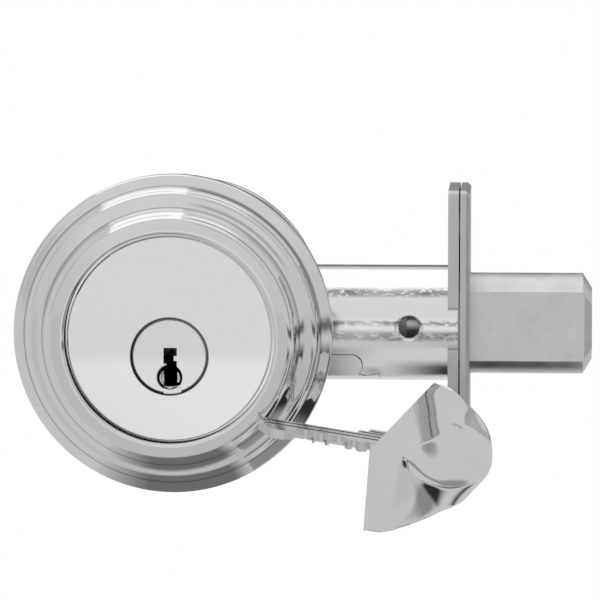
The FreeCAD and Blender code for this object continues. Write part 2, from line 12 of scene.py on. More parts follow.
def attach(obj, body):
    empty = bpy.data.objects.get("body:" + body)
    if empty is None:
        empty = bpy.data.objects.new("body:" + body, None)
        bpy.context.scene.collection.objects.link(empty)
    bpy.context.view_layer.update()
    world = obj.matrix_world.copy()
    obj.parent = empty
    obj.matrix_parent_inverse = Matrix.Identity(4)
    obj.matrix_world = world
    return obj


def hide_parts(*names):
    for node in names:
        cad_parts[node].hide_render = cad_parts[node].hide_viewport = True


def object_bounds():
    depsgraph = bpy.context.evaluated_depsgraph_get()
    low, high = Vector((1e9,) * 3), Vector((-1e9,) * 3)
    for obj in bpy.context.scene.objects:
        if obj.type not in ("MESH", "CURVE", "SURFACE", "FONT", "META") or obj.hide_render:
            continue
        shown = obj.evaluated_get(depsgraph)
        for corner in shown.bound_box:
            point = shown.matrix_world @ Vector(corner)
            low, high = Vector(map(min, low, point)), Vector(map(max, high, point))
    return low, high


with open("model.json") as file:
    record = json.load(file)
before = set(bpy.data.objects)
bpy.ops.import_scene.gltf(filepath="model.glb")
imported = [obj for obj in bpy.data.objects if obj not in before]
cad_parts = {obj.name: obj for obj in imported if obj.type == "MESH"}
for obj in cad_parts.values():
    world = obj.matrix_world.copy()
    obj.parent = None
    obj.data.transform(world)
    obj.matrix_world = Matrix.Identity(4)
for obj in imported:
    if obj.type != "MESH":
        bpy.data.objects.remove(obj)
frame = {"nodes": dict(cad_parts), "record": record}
NODES = frame["nodes"]
CAD_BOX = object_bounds()

bl_info = {
    "name": "Deadbolt Lock",
    "version": (1, 0, 0),
    "blender": (4, 5, 0),
    "location": "3D View > Sidebar > Deadbolt",
    "description": "Builds the pieces and finishes of a double cylinder deadbolt",
    "category": "Object",
}

# --- sizes shared with the frame, in millimetres -----------------------------------
MM = 0.001
RING_R = 32.7            # outdoor trim ring
DOOR_FACE = 22.225       # outer face of the door, from the door's middle
RING_LIP = 21.35         # ring's bore round the cylinder face
RING_WEB = 8.24          # ring's inner shelf above the door, and its bore
RING_WEB_R = 19.6
FACE_JOINT_R = 20.95     # joint round the cylinder face
PLUG_AXIS = -3.65        # height of the plug's axis
PLUG_JOINT_R = 7.85      # joint round the plug's head
RELIEF_AXIS = -7.87      # round relief at the foot of the keyway, ringed with painted shade
RELIEF_R = 2.52
KEYWAY_PAINTED_SHADE = (29.8, 31.6)   # painted shade in the keyway: all dark, and still light, from the door's middle


# --- settings -------------------------------------------------------------------
class LockFinishSettings(PropertyGroup):
    chrome_color: FloatVectorProperty(
        name="Chrome", description="Colour of the polished chrome", subtype="COLOR",
        size=3, min=0.0, max=1.0, default=(0.83, 0.835, 0.84))
    zinc_color: FloatVectorProperty(
        name="Zinc", description="Colour of the bright zinc plating", subtype="COLOR",
        size=3, min=0.0, max=1.0, default=(0.93, 0.935, 0.94))
    bolt_color: FloatVectorProperty(
        name="Bolt", description="Colour of the satin bolt", subtype="COLOR",
        size=3, min=0.0, max=1.0, default=(0.71, 0.715, 0.72))
    plate_color: FloatVectorProperty(
        name="Edge plates", description="Colour of the satin steel plates", subtype="COLOR",
        size=3, min=0.0, max=1.0, default=(0.62, 0.625, 0.63))
    key_color: FloatVectorProperty(
        name="Key blade", description="Colour of the nickel silver blade", subtype="COLOR",
        size=3, min=0.0, max=1.0, default=(0.80, 0.80, 0.79))
    chrome_roughness: FloatProperty(
        name="Chrome roughness", description="Roughness of the polished chrome",
        subtype="FACTOR", min=0.0, max=1.0, default=0.045)


class LockShapeSettings(PropertyGroup):
    ring_radius: FloatProperty(
        name="Ring radius", description="Outer radius of the outdoor ring in millimetres",
        min=31.5, max=RING_R, default=RING_R)
    second_tier: FloatProperty(
        name="Second tier", description="Outer radius of the ring's second tier in millimetres",
        min=29.5, max=31.2, default=30.4)
    third_tier: FloatProperty(
        name="Third tier", description="Outer radius of the ring's third tier in millimetres",
        min=25.5, max=27.2, default=26.3)
    grip_length: FloatProperty(
        name="Grip length", description="Length of the thumbturn grip in millimetres",
        min=30.0, max=37.7, default=37.65)
    grip_width: FloatProperty(
        name="Grip width", description="Width of the thumbturn grip's foot in millimetres",
        min=14.0, max=17.4, default=17.3)
    grip_height: FloatProperty(
        name="Grip height", description="Height of the grip's ridge in millimetres",
        min=14.0, max=19.0, default=18.7)


class LockStageSettings(PropertyGroup):
    camera_azimuth: FloatProperty(
        name="Azimuth", description="Camera angle round the lock from square on",
        subtype="ANGLE", default=math.radians(3.04))
    camera_elevation: FloatProperty(
        name="Elevation", description="Camera angle above the horizon",
        subtype="ANGLE", default=math.radians(5.79))
    camera_distance: FloatProperty(
        name="Distance", description="Camera distance from its target",
        subtype="DISTANCE", unit="LENGTH", default=0.936)
    camera_lens: FloatProperty(
        name="Lens", description="Focal length in millimetres", default=268.0)


# --- shared shader groups ---------------------------------------------------------
def new_group(name, inputs, outputs):
    """An empty shader group with its named sockets."""
    group = bpy.data.node_groups.new(name, "ShaderNodeTree")
    for label, kind, default in inputs:
        socket = group.interface.new_socket(label, in_out="INPUT", socket_type=kind)
        socket.default_value = default
    for label, kind in outputs:
        group.interface.new_socket(label, in_out="OUTPUT", socket_type=kind)
    enter = group.nodes.new("NodeGroupInput")
    leave = group.nodes.new("NodeGroupOutput")
    return group, enter, leave


def wire(tree, source, target):
    """Links an output to an input."""
    tree.links.new(source, target)


def maths(tree, operation, a, b=None):
    """The result of a Math node, whose inputs are numbers or other outputs."""
    node = tree.nodes.new("ShaderNodeMath")
    node.operation = operation
    for socket, value in zip(node.inputs, (a, b)):
        if value is None:
            continue
        if isinstance(value, (int, float)):
            socket.default_value = value
        else:
            wire(tree, value, socket)
    return node.outputs[0]


def noise(tree, vector, scale, detail=2.0, roughness=0.5):
    node = tree.nodes.new("ShaderNodeTexNoise")
    node.inputs["Detail"].default_value = detail
    node.inputs["Roughness"].default_value = roughness
    node.inputs["Scale"].default_value = scale
    wire(tree, vector, node.inputs["Vector"])
    return node.outputs["Fac"]


def spread(tree, value, low, high, to_low=0.0, to_high=1.0):
    """A value carried from one range to another, and held at its ends."""
    node = tree.nodes.new("ShaderNodeMapRange")
    for label, limit in (("From Min", low), ("From Max", high),
                         ("To Min", to_low), ("To Max", to_high)):
        node.inputs[label].default_value = limit
    wire(tree, value, node.inputs["Value"])
    return node.outputs["Result"]


def object_axes(tree):
    """The X, Y and Z of object coordinates."""
    coords = tree.nodes.new("ShaderNodeTexCoord")
    split = tree.nodes.new("ShaderNodeSeparateXYZ")
    wire(tree, coords.outputs["Object"], split.inputs[0])
    return split.outputs


def stretched(tree, scale):
    """Object coordinates scaled along each axis, for lines and grain."""
    coords = tree.nodes.new("ShaderNodeTexCoord")
    mapping = tree.nodes.new("ShaderNodeMapping")
    mapping.inputs["Scale"].default_value = scale
    wire(tree, coords.outputs["Object"], mapping.inputs["Vector"])
    return mapping.outputs["Vector"]


def bump_from(tree, height, strength, distance):
    bump = tree.nodes.new("ShaderNodeBump")
    bump.inputs["Distance"].default_value = distance
    wire(tree, strength, bump.inputs["Strength"])
    wire(tree, height, bump.inputs["Height"])
    return bump.outputs["Normal"]


def polish_group():
    """Buffed metal: a faint haze, hairline marks and the odd smear."""
    inputs = [("Roughness", "NodeSocketFloat", 0.07), ("Haze", "NodeSocketFloat", 0.05),
              ("Mark Strength", "NodeSocketFloat", 0.05)]
    outputs = [("Roughness", "NodeSocketFloat"), ("Mask", "NodeSocketFloat"),
               ("Normal", "NodeSocketVector")]
    group, enter, leave = new_group("polished_surface", inputs, outputs)
    haze = noise(group, stretched(group, (45, 45, 45)), 1.0, 4.0, 0.6)
    lines = noise(group, stretched(group, (2600, 900, 60)), 1.0, 2.0)
    fine = spread(group, lines, 0.42, 0.62)
    patch = spread(group, haze, 0.38, 0.68)
    extra = maths(group, "MULTIPLY", patch, enter.outputs["Haze"])
    rough = maths(group, "ADD", enter.outputs["Roughness"], extra)
    wire(group, rough, leave.inputs["Roughness"])
    wire(group, patch, leave.inputs["Mask"])
    normal = bump_from(group, fine, enter.outputs["Mark Strength"], 0.00002)
    wire(group, normal, leave.inputs["Normal"])
    return group


def grain_group():
    """Drawn or cast metal: fine grain, soft mottling and darker specks."""
    inputs = [("Roughness", "NodeSocketFloat", 0.3), ("Mottle", "NodeSocketFloat", 0.1),
              ("Grain Strength", "NodeSocketFloat", 0.2), ("Scale", "NodeSocketFloat", 1.0)]
    outputs = [("Roughness", "NodeSocketFloat"), ("Shade", "NodeSocketFloat"),
               ("Normal", "NodeSocketVector")]
    group, enter, leave = new_group("grained_surface", inputs, outputs)
    coords = stretched(group, (1, 1, 1))
    scaled = group.nodes.new("ShaderNodeVectorMath")
    scaled.operation = "SCALE"
    wire(group, coords, scaled.inputs[0])
    wire(group, enter.outputs["Scale"], scaled.inputs["Scale"])
    vector = scaled.outputs[0]
    blotch = spread(group, noise(group, vector, 130.0, 5.0, 0.62), 0.32, 0.68)
    grain = noise(group, vector, 2400.0, 2.0)
    speck = spread(group, noise(group, vector, 700.0, 3.0, 0.7), 0.60, 0.72)
    swing = maths(group, "SUBTRACT", blotch, 0.5)
    shade = maths(group, "MULTIPLY", swing, enter.outputs["Mottle"])
    dark = maths(group, "MULTIPLY", speck, maths(group, "MULTIPLY", enter.outputs["Mottle"], 0.5))
    shade = maths(group, "ADD", 1.0, maths(group, "SUBTRACT", shade, dark))
    rough = maths(group, "ADD", enter.outputs["Roughness"],
                  maths(group, "MULTIPLY", swing, 0.12))
    height = maths(group, "ADD", grain, maths(group, "MULTIPLY", blotch, 0.6))
    wire(group, rough, leave.inputs["Roughness"])
    wire(group, shade, leave.inputs["Shade"])
    normal = bump_from(group, height, enter.outputs["Grain Strength"], 0.00006)
    wire(group, normal, leave.inputs["Normal"])
    return group


def rim_group():
    """A soft ring round a line along Y, used for the dark joints between turned pieces and for
    rings of painted shade and painted shadow.
    """
    inputs = [("Height", "NodeSocketFloat", 0.0), ("Radius", "NodeSocketFloat", 0.008),
              ("Half Width", "NodeSocketFloat", 0.0003)]
    group, enter, leave = new_group("round_joint_and_shade_line", inputs, [("Mask", "NodeSocketFloat")])
    x, _, z = object_axes(group)
    drop = maths(group, "SUBTRACT", z, enter.outputs["Height"])
    squares = maths(group, "ADD", maths(group, "MULTIPLY", drop, drop),
                    maths(group, "MULTIPLY", x, x))
    off = maths(group, "SUBTRACT", maths(group, "SQRT", squares), enter.outputs["Radius"])
    share = maths(group, "DIVIDE", maths(group, "ABSOLUTE", off), enter.outputs["Half Width"])
    wire(group, spread(group, share, 0.65, 1.25, 1.0, 0.0), leave.inputs["Mask"])
    return group


def use_group(tree, group, values):
    node = tree.nodes.new("ShaderNodeGroup")
    node.node_tree = group
    for label, value in values.items():
        node.inputs[label].default_value = value
    return node


# --- finishes ---------------------------------------------------------------------
HAZE_SHADE = 0.965       # how far the haze on polished metal dims it
# painted reflections: dark lines along the barrel, with height and half width in millimetres, and
# darkness
PAINTED_REFLECTION_LINES = ((7.2, 0.9, 0.85), (1.0, 0.6, 0.85), (-1.7, 1.0, 0.70))


def metal(name):
    """A bare metal material, its node tree and its shader node."""
    material = bpy.data.materials.new(name)
    material.use_nodes = True
    shader = material.node_tree.nodes["Principled BSDF"]
    shader.inputs["Metallic"].default_value = 1.0
    return material, material.node_tree, shader


def tinted(tree, color, shade):
    """The colour darkened or lightened by a shade that varies over the surface."""
    node = tree.nodes.new("ShaderNodeVectorMath")
    node.operation = "SCALE"
    node.inputs[0].default_value = tuple(color)[:3]
    wire(tree, shade, node.inputs["Scale"])
    return node.outputs[0]


def surface_wired(tree, shader, color, shade, rough, normal):
    """Feeds a shaded colour, a roughness and a normal to a metal's shader."""
    wire(tree, tinted(tree, color, shade), shader.inputs["Base Color"])
    wire(tree, rough, shader.inputs["Roughness"])
    wire(tree, normal, shader.inputs["Normal"])


def polished_metal(name, color, roughness, haze, marks):
    material, tree, shader = metal(name)
    surface = use_group(tree, GROUPS["polish"],
                        {"Roughness": roughness, "Haze": haze, "Mark Strength": marks})
    shade = spread(tree, surface.outputs["Mask"], 0.0, 1.0, 1.0, HAZE_SHADE)
    surface_wired(tree, shader, color, shade, surface.outputs["Roughness"],
                  surface.outputs["Normal"])
    return material


def grained_metal(name, color, roughness, mottle, grain, scale):
    material, tree, shader = metal(name)
    surface = use_group(tree, GROUPS["grain"],
                        {"Roughness": roughness, "Mottle": mottle,
                         "Grain Strength": grain, "Scale": scale})
    surface_wired(tree, shader, color, surface.outputs["Shade"],
                  surface.outputs["Roughness"], surface.outputs["Normal"])
    return material


def joint_and_shade_ring(tree, height, radius, half_width):
    """The soft ring's mask, used for dark joints and for rings of painted shade, for sizes in
    millimetres.
    """
    joints_with_shade = use_group(tree, GROUPS["rim"], {"Height": height * MM, "Radius": radius * MM,
                                            "Half Width": half_width * MM})
    return joints_with_shade.outputs["Mask"]


def face_metal(name, color, roughness, painted_shade_factor=1.0):
    """Mirror chrome of the cylinder faces: dark joints, darkened towards the lower left by
    painted shade, a ring of painted shade round the keyway's relief and painted shade inside the
    keyway; the last argument dims it all with painted shade.
    """
    material, tree, shader = metal(name)
    x, y, z = object_axes(tree)
    # dark joints, with painted shade that makes them darker towards the lower left
    slant = maths(tree, "ADD", x, z)
    outer = maths(tree, "MULTIPLY", joint_and_shade_ring(tree, 0.0, FACE_JOINT_R, 0.22),
                  spread(tree, slant, -0.020, 0.022, 1.0, 0.12))
    inner = maths(tree, "MULTIPLY", joint_and_shade_ring(tree, PLUG_AXIS, PLUG_JOINT_R, 0.19),
                  spread(tree, slant, -0.012, 0.006, 1.0, 0.72))
    joints_with_shade = maths(tree, "MULTIPLY", maths(tree, "MAXIMUM", inner, outer), 0.80)
    # painted shade: a thin dark ring where the relief's wall is
    painted_relief_shade = maths(tree, "MULTIPLY", joint_and_shade_ring(tree, RELIEF_AXIS, RELIEF_R, 0.12), 0.7)
    # painted shade: the keyway darkens with depth behind the face, most towards its foot
    deep, shallow = KEYWAY_PAINTED_SHADE
    behind = spread(tree, maths(tree, "ABSOLUTE", y), deep * MM, shallow * MM, 1.0, 0.0)
    inside = maths(tree, "MULTIPLY", behind, spread(tree, z, -0.0064, -0.0034, 0.94, 0.5))
    dark = maths(tree, "MAXIMUM", maths(tree, "MAXIMUM", joints_with_shade, painted_relief_shade), inside)
    polish = use_group(tree, GROUPS["polish"],
                       {"Roughness": roughness, "Haze": 0.012, "Mark Strength": 0.008})
    rough = maths(tree, "ADD", polish.outputs["Roughness"], maths(tree, "MULTIPLY", dark, 0.4))
    # colour: the painted shade factor less the dark joints and the painted shade masks
    surface_wired(tree, shader, color, maths(tree, "SUBTRACT", painted_shade_factor, dark), rough,
                  polish.outputs["Normal"])
    return material


def ring_metal(name, color, roughness, settings):
    """Polished chrome with a thin shadow line at the foot of each tier."""
    material, tree, shader = metal(name)
    surface = use_group(tree, GROUPS["polish"],
                        {"Roughness": roughness, "Haze": 0.05, "Mark Strength": 0.04})
    total = None
    for radius in (settings.second_tier, settings.third_tier):
        line = joint_and_shade_ring(tree, 0.0, radius - 0.05, 0.21)
        total = line if total is None else maths(tree, "MAXIMUM", total, line)
    haze = spread(tree, surface.outputs["Mask"], 0.0, 1.0, 1.0, HAZE_SHADE)
    shade = maths(tree, "SUBTRACT", haze, maths(tree, "MULTIPLY", total, 0.34))
    surface_wired(tree, shader, color, shade, surface.outputs["Roughness"],
                  surface.outputs["Normal"])
    return material


def zinc_with_painted_reflections(name, color):
    """Bright zinc on the drawn tube, with broken dark lines along its side that are painted
    reflections.
    """
    material, tree, shader = metal(name)
    surface = use_group(tree, GROUPS["grain"],
                        {"Roughness": 0.17, "Mottle": 0.05, "Grain Strength": 0.05,
                         "Scale": 1.0})
    z = object_axes(tree)[2]
    broken = spread(tree, noise(tree, stretched(tree, (620, 900, 1500)), 1.0, 3.0, 0.7),
                    0.40, 0.50)
    swell = spread(tree, noise(tree, stretched(tree, (90, 90, 90)), 1.0, 2.0), 0.3, 0.7,
                   0.35, 1.0)
    # painted reflections: dark lines at fixed heights along the barrel, broken and swelled by
    # noise
    total = None
    for height, half, weight in PAINTED_REFLECTION_LINES:
        off = maths(tree, "ABSOLUTE", maths(tree, "SUBTRACT", z, height * MM))
        line = spread(tree, off, half * MM * 0.35, half * MM * 1.3, weight, 0.0)
        total = line if total is None else maths(tree, "MAXIMUM", total, line)
    total = maths(tree, "MULTIPLY", maths(tree, "MULTIPLY", total, broken), swell)
    shade = maths(tree, "MULTIPLY", surface.outputs["Shade"],
                  maths(tree, "SUBTRACT", 1.0, total))
    surface_wired(tree, shader, color, shade, surface.outputs["Roughness"],
                  surface.outputs["Normal"])
    return material


GROUPS = {}
FINISHES = {}
# pieces whose finish differs from the one their material slot names
FINISH_OF = {"out_cylinder_body": "chrome_face", "out_plug": "chrome_plug_painted_shade",
             "in_cylinder_body": "chrome", "in_plug": "chrome",
             "bolt_barrel": "zinc_with_painted_reflections", "barrel_cradle": "zinc_with_painted_reflections"}
BRASS = (0.72, 0.52, 0.24)
SPRING = (0.42, 0.43, 0.45)
HARD = (0.33, 0.34, 0.36)
MIRROR = 0.012           # roughness of the lapped cylinder faces


class LOCK_OT_finishes(Operator):
    """Mixes the metal finishes"""
    bl_idname = "lock.finishes"
    bl_label = "Finishes"

    def execute(self, context):
        settings = context.scene.lock_finish
        GROUPS["polish"] = polish_group()
        GROUPS["grain"] = grain_group()
        GROUPS["rim"] = rim_group()
        chrome, rough = settings.chrome_color, settings.chrome_roughness
        FINISHES["chrome"] = polished_metal("polished_chrome", chrome, rough, 0.05, 0.04)
        FINISHES["chrome_grip"] = polished_metal("chrome_grip", chrome, rough, 0.03, 0.02)
        FINISHES["chrome_ring"] = ring_metal("chrome_ring", chrome, rough,
                                             context.scene.lock_shape)
        FINISHES["chrome_face"] = face_metal("chrome_face", chrome, MIRROR)
        # the plug's chrome is the face chrome dimmed a little with painted shade
        FINISHES["chrome_plug_painted_shade"] = face_metal("chrome_plug_painted_shade", chrome, MIRROR, 0.94)
        FINISHES["zinc_with_painted_reflections"] = zinc_with_painted_reflections("drawn_zinc_painted_reflections", settings.zinc_color)
        # finish, material, colour, roughness, mottle, grain strength, grain scale
        for finish, name, *values in (
                ("zinc_plate", "bright_zinc", settings.zinc_color, 0.20, 0.16, 0.12, 1.0),
                ("cast_bolt", "satin_bolt", settings.bolt_color, 0.34, 0.20, 0.25, 1.0),
                ("steel_plate", "satin_plate", settings.plate_color, 0.36, 0.14, 0.22, 1.0),
                ("spring_steel", "spring_wire", SPRING, 0.30, 0.10, 0.10, 2.0),
                ("hard_steel", "hardened_steel", HARD, 0.28, 0.14, 0.14, 1.0),
                ("brass", "turned_brass", BRASS, 0.24, 0.10, 0.12, 1.6),
                ("nickel_silver", "milled_blade", settings.key_color, 0.16, 0.06, 0.05, 1.0)):
            FINISHES[finish] = grained_metal(name, *values)
        return {"FINISHED"}


class LOCK_OT_frame_pieces(Operator):
    """Gives every kept frame piece the finish of its material slot"""
    bl_idname = "lock.frame_pieces"
    bl_label = "Frame Pieces"

    def execute(self, context):
        for part in frame["record"]["subparts"]:
            piece = NODES[part["node"]]
            piece.data.materials.clear()
            finish = FINISH_OF.get(part["node"], part["material_slot"])
            piece.data.materials.append(FINISHES[finish])
        return {"FINISHED"}


# --- mesh helpers -----------------------------------------------------------------
def begin_loop(name, sides, radius, y, filled):
    """A circle square to Y, ready to be shaped in edit mode."""
    bpy.ops.object.select_all(action="DESELECT")
    bpy.ops.mesh.primitive_circle_add(
        vertices=sides, radius=radius, fill_type="NGON" if filled else "NOTHING",
        location=(0, y, 0), rotation=(math.pi / 2, 0, 0))
    piece = bpy.context.object
    piece.name = name
    piece.data.name = name
    bpy.ops.object.transform_apply(location=True, rotation=True, scale=True)
    bpy.ops.object.mode_set(mode="EDIT")
    bpy.ops.mesh.select_all(action="SELECT")
    return piece


def select_verts(mesh, wanted):
    for vert in mesh.verts:
        vert.select = False
    for edge in mesh.edges:
        edge.select = False
    for face in mesh.faces:
        face.select = False
    mesh.select_mode = {"VERT"}
    for vert in wanted:
        vert.select = True
    mesh.select_flush(True)


def nearest(mesh, point):
    return min(mesh.verts, key=lambda vert: (vert.co - point).length_squared)


def walk_loop(steps, face_y):
    """Carries the selected loop through (radius, height) steps round the Y axis."""
    for (r0, h0), (r1, h1) in zip(steps, steps[1:]):
        bpy.ops.mesh.extrude_region_move(
            TRANSFORM_OT_translate={"value": (0, -(h1 - h0) * MM, 0)})
        ratio = r1 / r0
        bpy.ops.transform.resize(value=(ratio, 1, ratio), center_override=(0, face_y, 0))


def turn_faces_out():
    """Turns every face of the mesh being edited outward."""
    bpy.ops.mesh.select_all(action="SELECT")
    bpy.ops.mesh.normals_make_consistent(inside=False)


def close_up(angle):
    """Merges doubles, turns faces outward and smooths everything under an angle."""
    bpy.ops.mesh.select_all(action="SELECT")
    bpy.ops.mesh.remove_doubles(threshold=0.002 * MM)
    turn_faces_out()
    bpy.ops.object.mode_set(mode="OBJECT")
    bpy.ops.object.shade_smooth_by_angle(angle=math.radians(angle))


def dressed(piece, finish):
    piece.data.materials.clear()
    piece.data.materials.append(FINISHES[finish])


def subdivided(piece, levels):
    modifier = piece.modifiers.new("smooth", "SUBSURF")
    modifier.levels = levels
    modifier.render_levels = levels
    bpy.ops.object.modifier_apply(modifier=modifier.name)


# --- outdoor trim ring ------------------------------------------------------------
RING_SIDES = 224


def ring_tier(outer, inner, low, high, sweep, land, cove):
    """One tier between two radii and two heights above the door.

    A steep foot, a quarter round that takes up sweep of the radius, then a land that
    climbs by its share of the rise and coves up at its end.
    """
    rise = high - low
    points = [(outer, low), (outer - 0.03, low + 0.05 * rise), (outer - 0.2, low + 0.18 * rise)]
    start, foot = points[-1]
    turned = rise * (0.82 - land)
    first, last = math.radians(20), math.radians(80)
    for i in range(1, 9):
        turn = first + (last - first) * i / 8.0
        out = (math.cos(first) - math.cos(turn)) / (math.cos(first) - math.cos(last))
        up = (math.sin(turn) - math.sin(first)) / (math.sin(last) - math.sin(first))
        points.append((start - sweep * out, foot + turned * up))
    start, foot = points[-1]
    for i in range(1, 6):
        t = i / 5.0
        points.append((start + (inner + 0.12 - start) * t,
                       foot + (high - foot) * ((1 - cove) * t + cove * t ** 3)))
    return points


def ring_profile(settings):
    """The whole section: skirt, two tiers, the lip round the face, then the hollow back."""
    outer, mid, inner = settings.ring_radius, settings.second_tier, settings.third_tier
    steps = [(outer - 0.35, 0.5), (outer, 0.85), (outer, 2.7), (outer - 0.05, 2.95),
             (outer - 0.2, 3.16), (outer - 0.55, 3.34), (outer - 1.0, 3.56),
             (outer - 1.4, 3.79), (outer - 1.8, 4.03)]
    steps += ring_tier(mid, inner, low=4.28, high=8.4, sweep=1.5, land=0.2, cove=0.4)
    steps += ring_tier(inner, 22.2, low=8.46, high=13.8, sweep=2.0, land=0.07, cove=0.0)
    steps += [(22.1, 13.84), (21.85, 13.86), (21.55, 13.76), (RING_LIP, 13.45),
              (RING_LIP, RING_WEB), (RING_WEB_R, RING_WEB), (RING_WEB_R, RING_WEB - 1.5),
              (24.4, RING_WEB - 1.5), (outer - 7.5, 6.0), (outer - 4.2, 3.9),
              (outer - 1.9, 2.0), (outer - 1.9, 0.5), (outer - 0.35, 0.5)]
    return steps


class LOCK_OT_trim_ring(Operator):
    """Turns the stepped outdoor trim ring"""
    bl_idname = "lock.trim_ring"
    bl_label = "Outdoor Trim Ring"

    def execute(self, context):
        steps = ring_profile(context.scene.lock_shape)
        face_y = -DOOR_FACE * MM
        first_r, first_h = steps[0]
        piece = begin_loop("trim_ring_outdoor", RING_SIDES, first_r * MM,
                           face_y - first_h * MM, False)
        walk_loop(steps, face_y)
        close_up(42)
        dressed(piece, "chrome_ring")
        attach(piece, "outdoor_ring")
        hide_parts("out_trim_ring")
        return {"FINISHED"}


# --- thumbturn grip ---------------------------------------------------------------
# middle of the grip's flat foot, the way it stands out, and the way it runs
GRIP_BASE = Vector((RING_R + 14.45, -DOOR_FACE - 30.155, -21.01))
GRIP_OUT = Vector((0.948, -0.2766, -0.1579)).normalized()
GRIP_ALONG = Vector((-0.3082, -0.9215, -0.2363)).normalized()
GRIP_WIDE = 18.5         # width and height that the curves below are drawn for
GRIP_TALL = 18.9
# curves against the place along the grip, from one end (1) to the other (-1):
# reach and height of the shoulder edge, of the crest edge, and height of the top
SHOULDER = ((1.0, 9.25, 7.0), (0.71, 9.25, 7.6), (0.28, 8.9, 10.9), (-0.22, 8.2, 11.6),
            (-0.70, 7.5, 9.4), (-0.85, 7.8, 8.0), (-0.956, 8.5, 5.5), (-1.0, 9.2, 3.0))
CREST = ((1.0, 6.0, 6.1), (0.988, 5.6, 7.1), (0.97, 5.0, 8.1), (0.945, 4.5, 9.3),
         (0.91, 4.0, 10.6), (0.85, 3.6, 12.0), (0.77, 3.35, 12.9), (0.52, 3.1, 14.3),
         (0.21, 2.9, 15.8), (-0.10, 3.0, 16.7), (-0.36, 3.5, 16.8), (-0.62, 3.4, 15.6),
         (-0.83, 5.3, 12.2), (-0.905, 7.0, 8.0), (-0.965, 8.2, 5.6), (-1.0, 8.9, 3.4))
TOP = ((0.0, 18.9), (0.10, 18.8), (0.21, 18.5), (0.465, 17.0), (0.67, 14.9), (0.77, 13.7),
       (0.85, 12.4), (0.91, 10.9), (0.945, 9.6), (0.97, 8.2), (0.988, 6.7), (1.0, 5.0))
HALF_STATIONS = (0.2, 0.38, 0.54, 0.67, 0.77, 0.85, 0.91, 0.945, 0.97, 0.988, 1.0)
STATIONS = [-place for place in reversed(HALF_STATIONS)] + [0.0] + list(HALF_STATIONS)
# sharp edges of the near and far side: point of the section, sharpness, and the
# stretch of the grip that it runs over
FOOT, SHOULDER_EDGE, CREST_EDGE = 0, 2, 4
NEAR_EDGES = ((FOOT, 1.0, -2.0, 2.0), (SHOULDER_EDGE, 0.9, -0.3, 2.0),
              (CREST_EDGE, 0.85, -0.65, 0.5))
FAR_EDGES = ((FOOT, 1.0, -2.0, 2.0), (SHOULDER_EDGE, 0.9, -2.0, 0.3),
             (CREST_EDGE, 0.85, -0.56, 0.6))


def read_along(table, place):
    """Values of a curve given at a few places along the grip."""
    rows = sorted(table)
    for low, high in zip(rows, rows[1:]):
        if low[0] <= place <= high[0]:
            t = (place - low[0]) / (high[0] - low[0])
            return [a + (b - a) * t for a, b in zip(low[1:], high[1:])]
    return list(rows[-1][1:])


def flank(place):
    """Half of a section: side wall, shoulder edge, scoop, crest edge and crown."""
    side, shoulder = read_along(SHOULDER, place)
    edge, crest = read_along(CREST, place)
    top = read_along(TOP, abs(place))[0]
    foot = GRIP_WIDE / 2
    hollow = 0.10 * math.hypot(side - edge, crest - shoulder)
    scoop = ((side + edge) / 2 - hollow * 0.6, (shoulder + crest) / 2 - hollow * 0.8)
    crown = (edge * 0.52, crest + (top - crest) * 0.72)
    return [(foot, 0.0), (foot * 0.6 + side * 0.4, shoulder * 0.5), (side, shoulder),
            scoop, (edge, crest), crown]


def grip_section(place):
    """A closed section; the far side repeats the near side of the other end."""
    near = flank(place)
    far = [(-reach, height) for reach, height in flank(-place)]
    top = read_along(TOP, abs(place))[0]
    return near + [(0.0, top)] + far[::-1] + [(0.0, 0.0)]


def grip_points(place, settings):
    """A section's points in metres, before the grip is turned into place."""
    y = place * settings.grip_length / 2
    wide, tall = settings.grip_width / GRIP_WIDE, settings.grip_height / GRIP_TALL
    return [Vector((height * tall, y, reach * wide)) * MM
            for reach, height in grip_section(place)]


def crease(piece, pairs, sharp):
    """Creases the edges that join pairs of points."""
    mesh = bmesh.from_edit_mesh(piece.data)
    edges = []
    for start, end in pairs:
        a, b = nearest(mesh, start), nearest(mesh, end)
        edges += [edge for edge in a.link_edges if edge.other_vert(a) is b]
    select_verts(mesh, [])
    mesh.select_mode = {"EDGE"}
    for edge in edges:
        edge.select = True
    bmesh.update_edit_mesh(piece.data)
    bpy.ops.transform.edge_crease(value=sharp)


def pairs_along(rows, point, low, high):
    """Pairs of neighbours along the grip at one point of the section."""
    return [(row[point], following[point])
            for place, row, following in zip(STATIONS, rows, rows[1:]) if low < place < high]


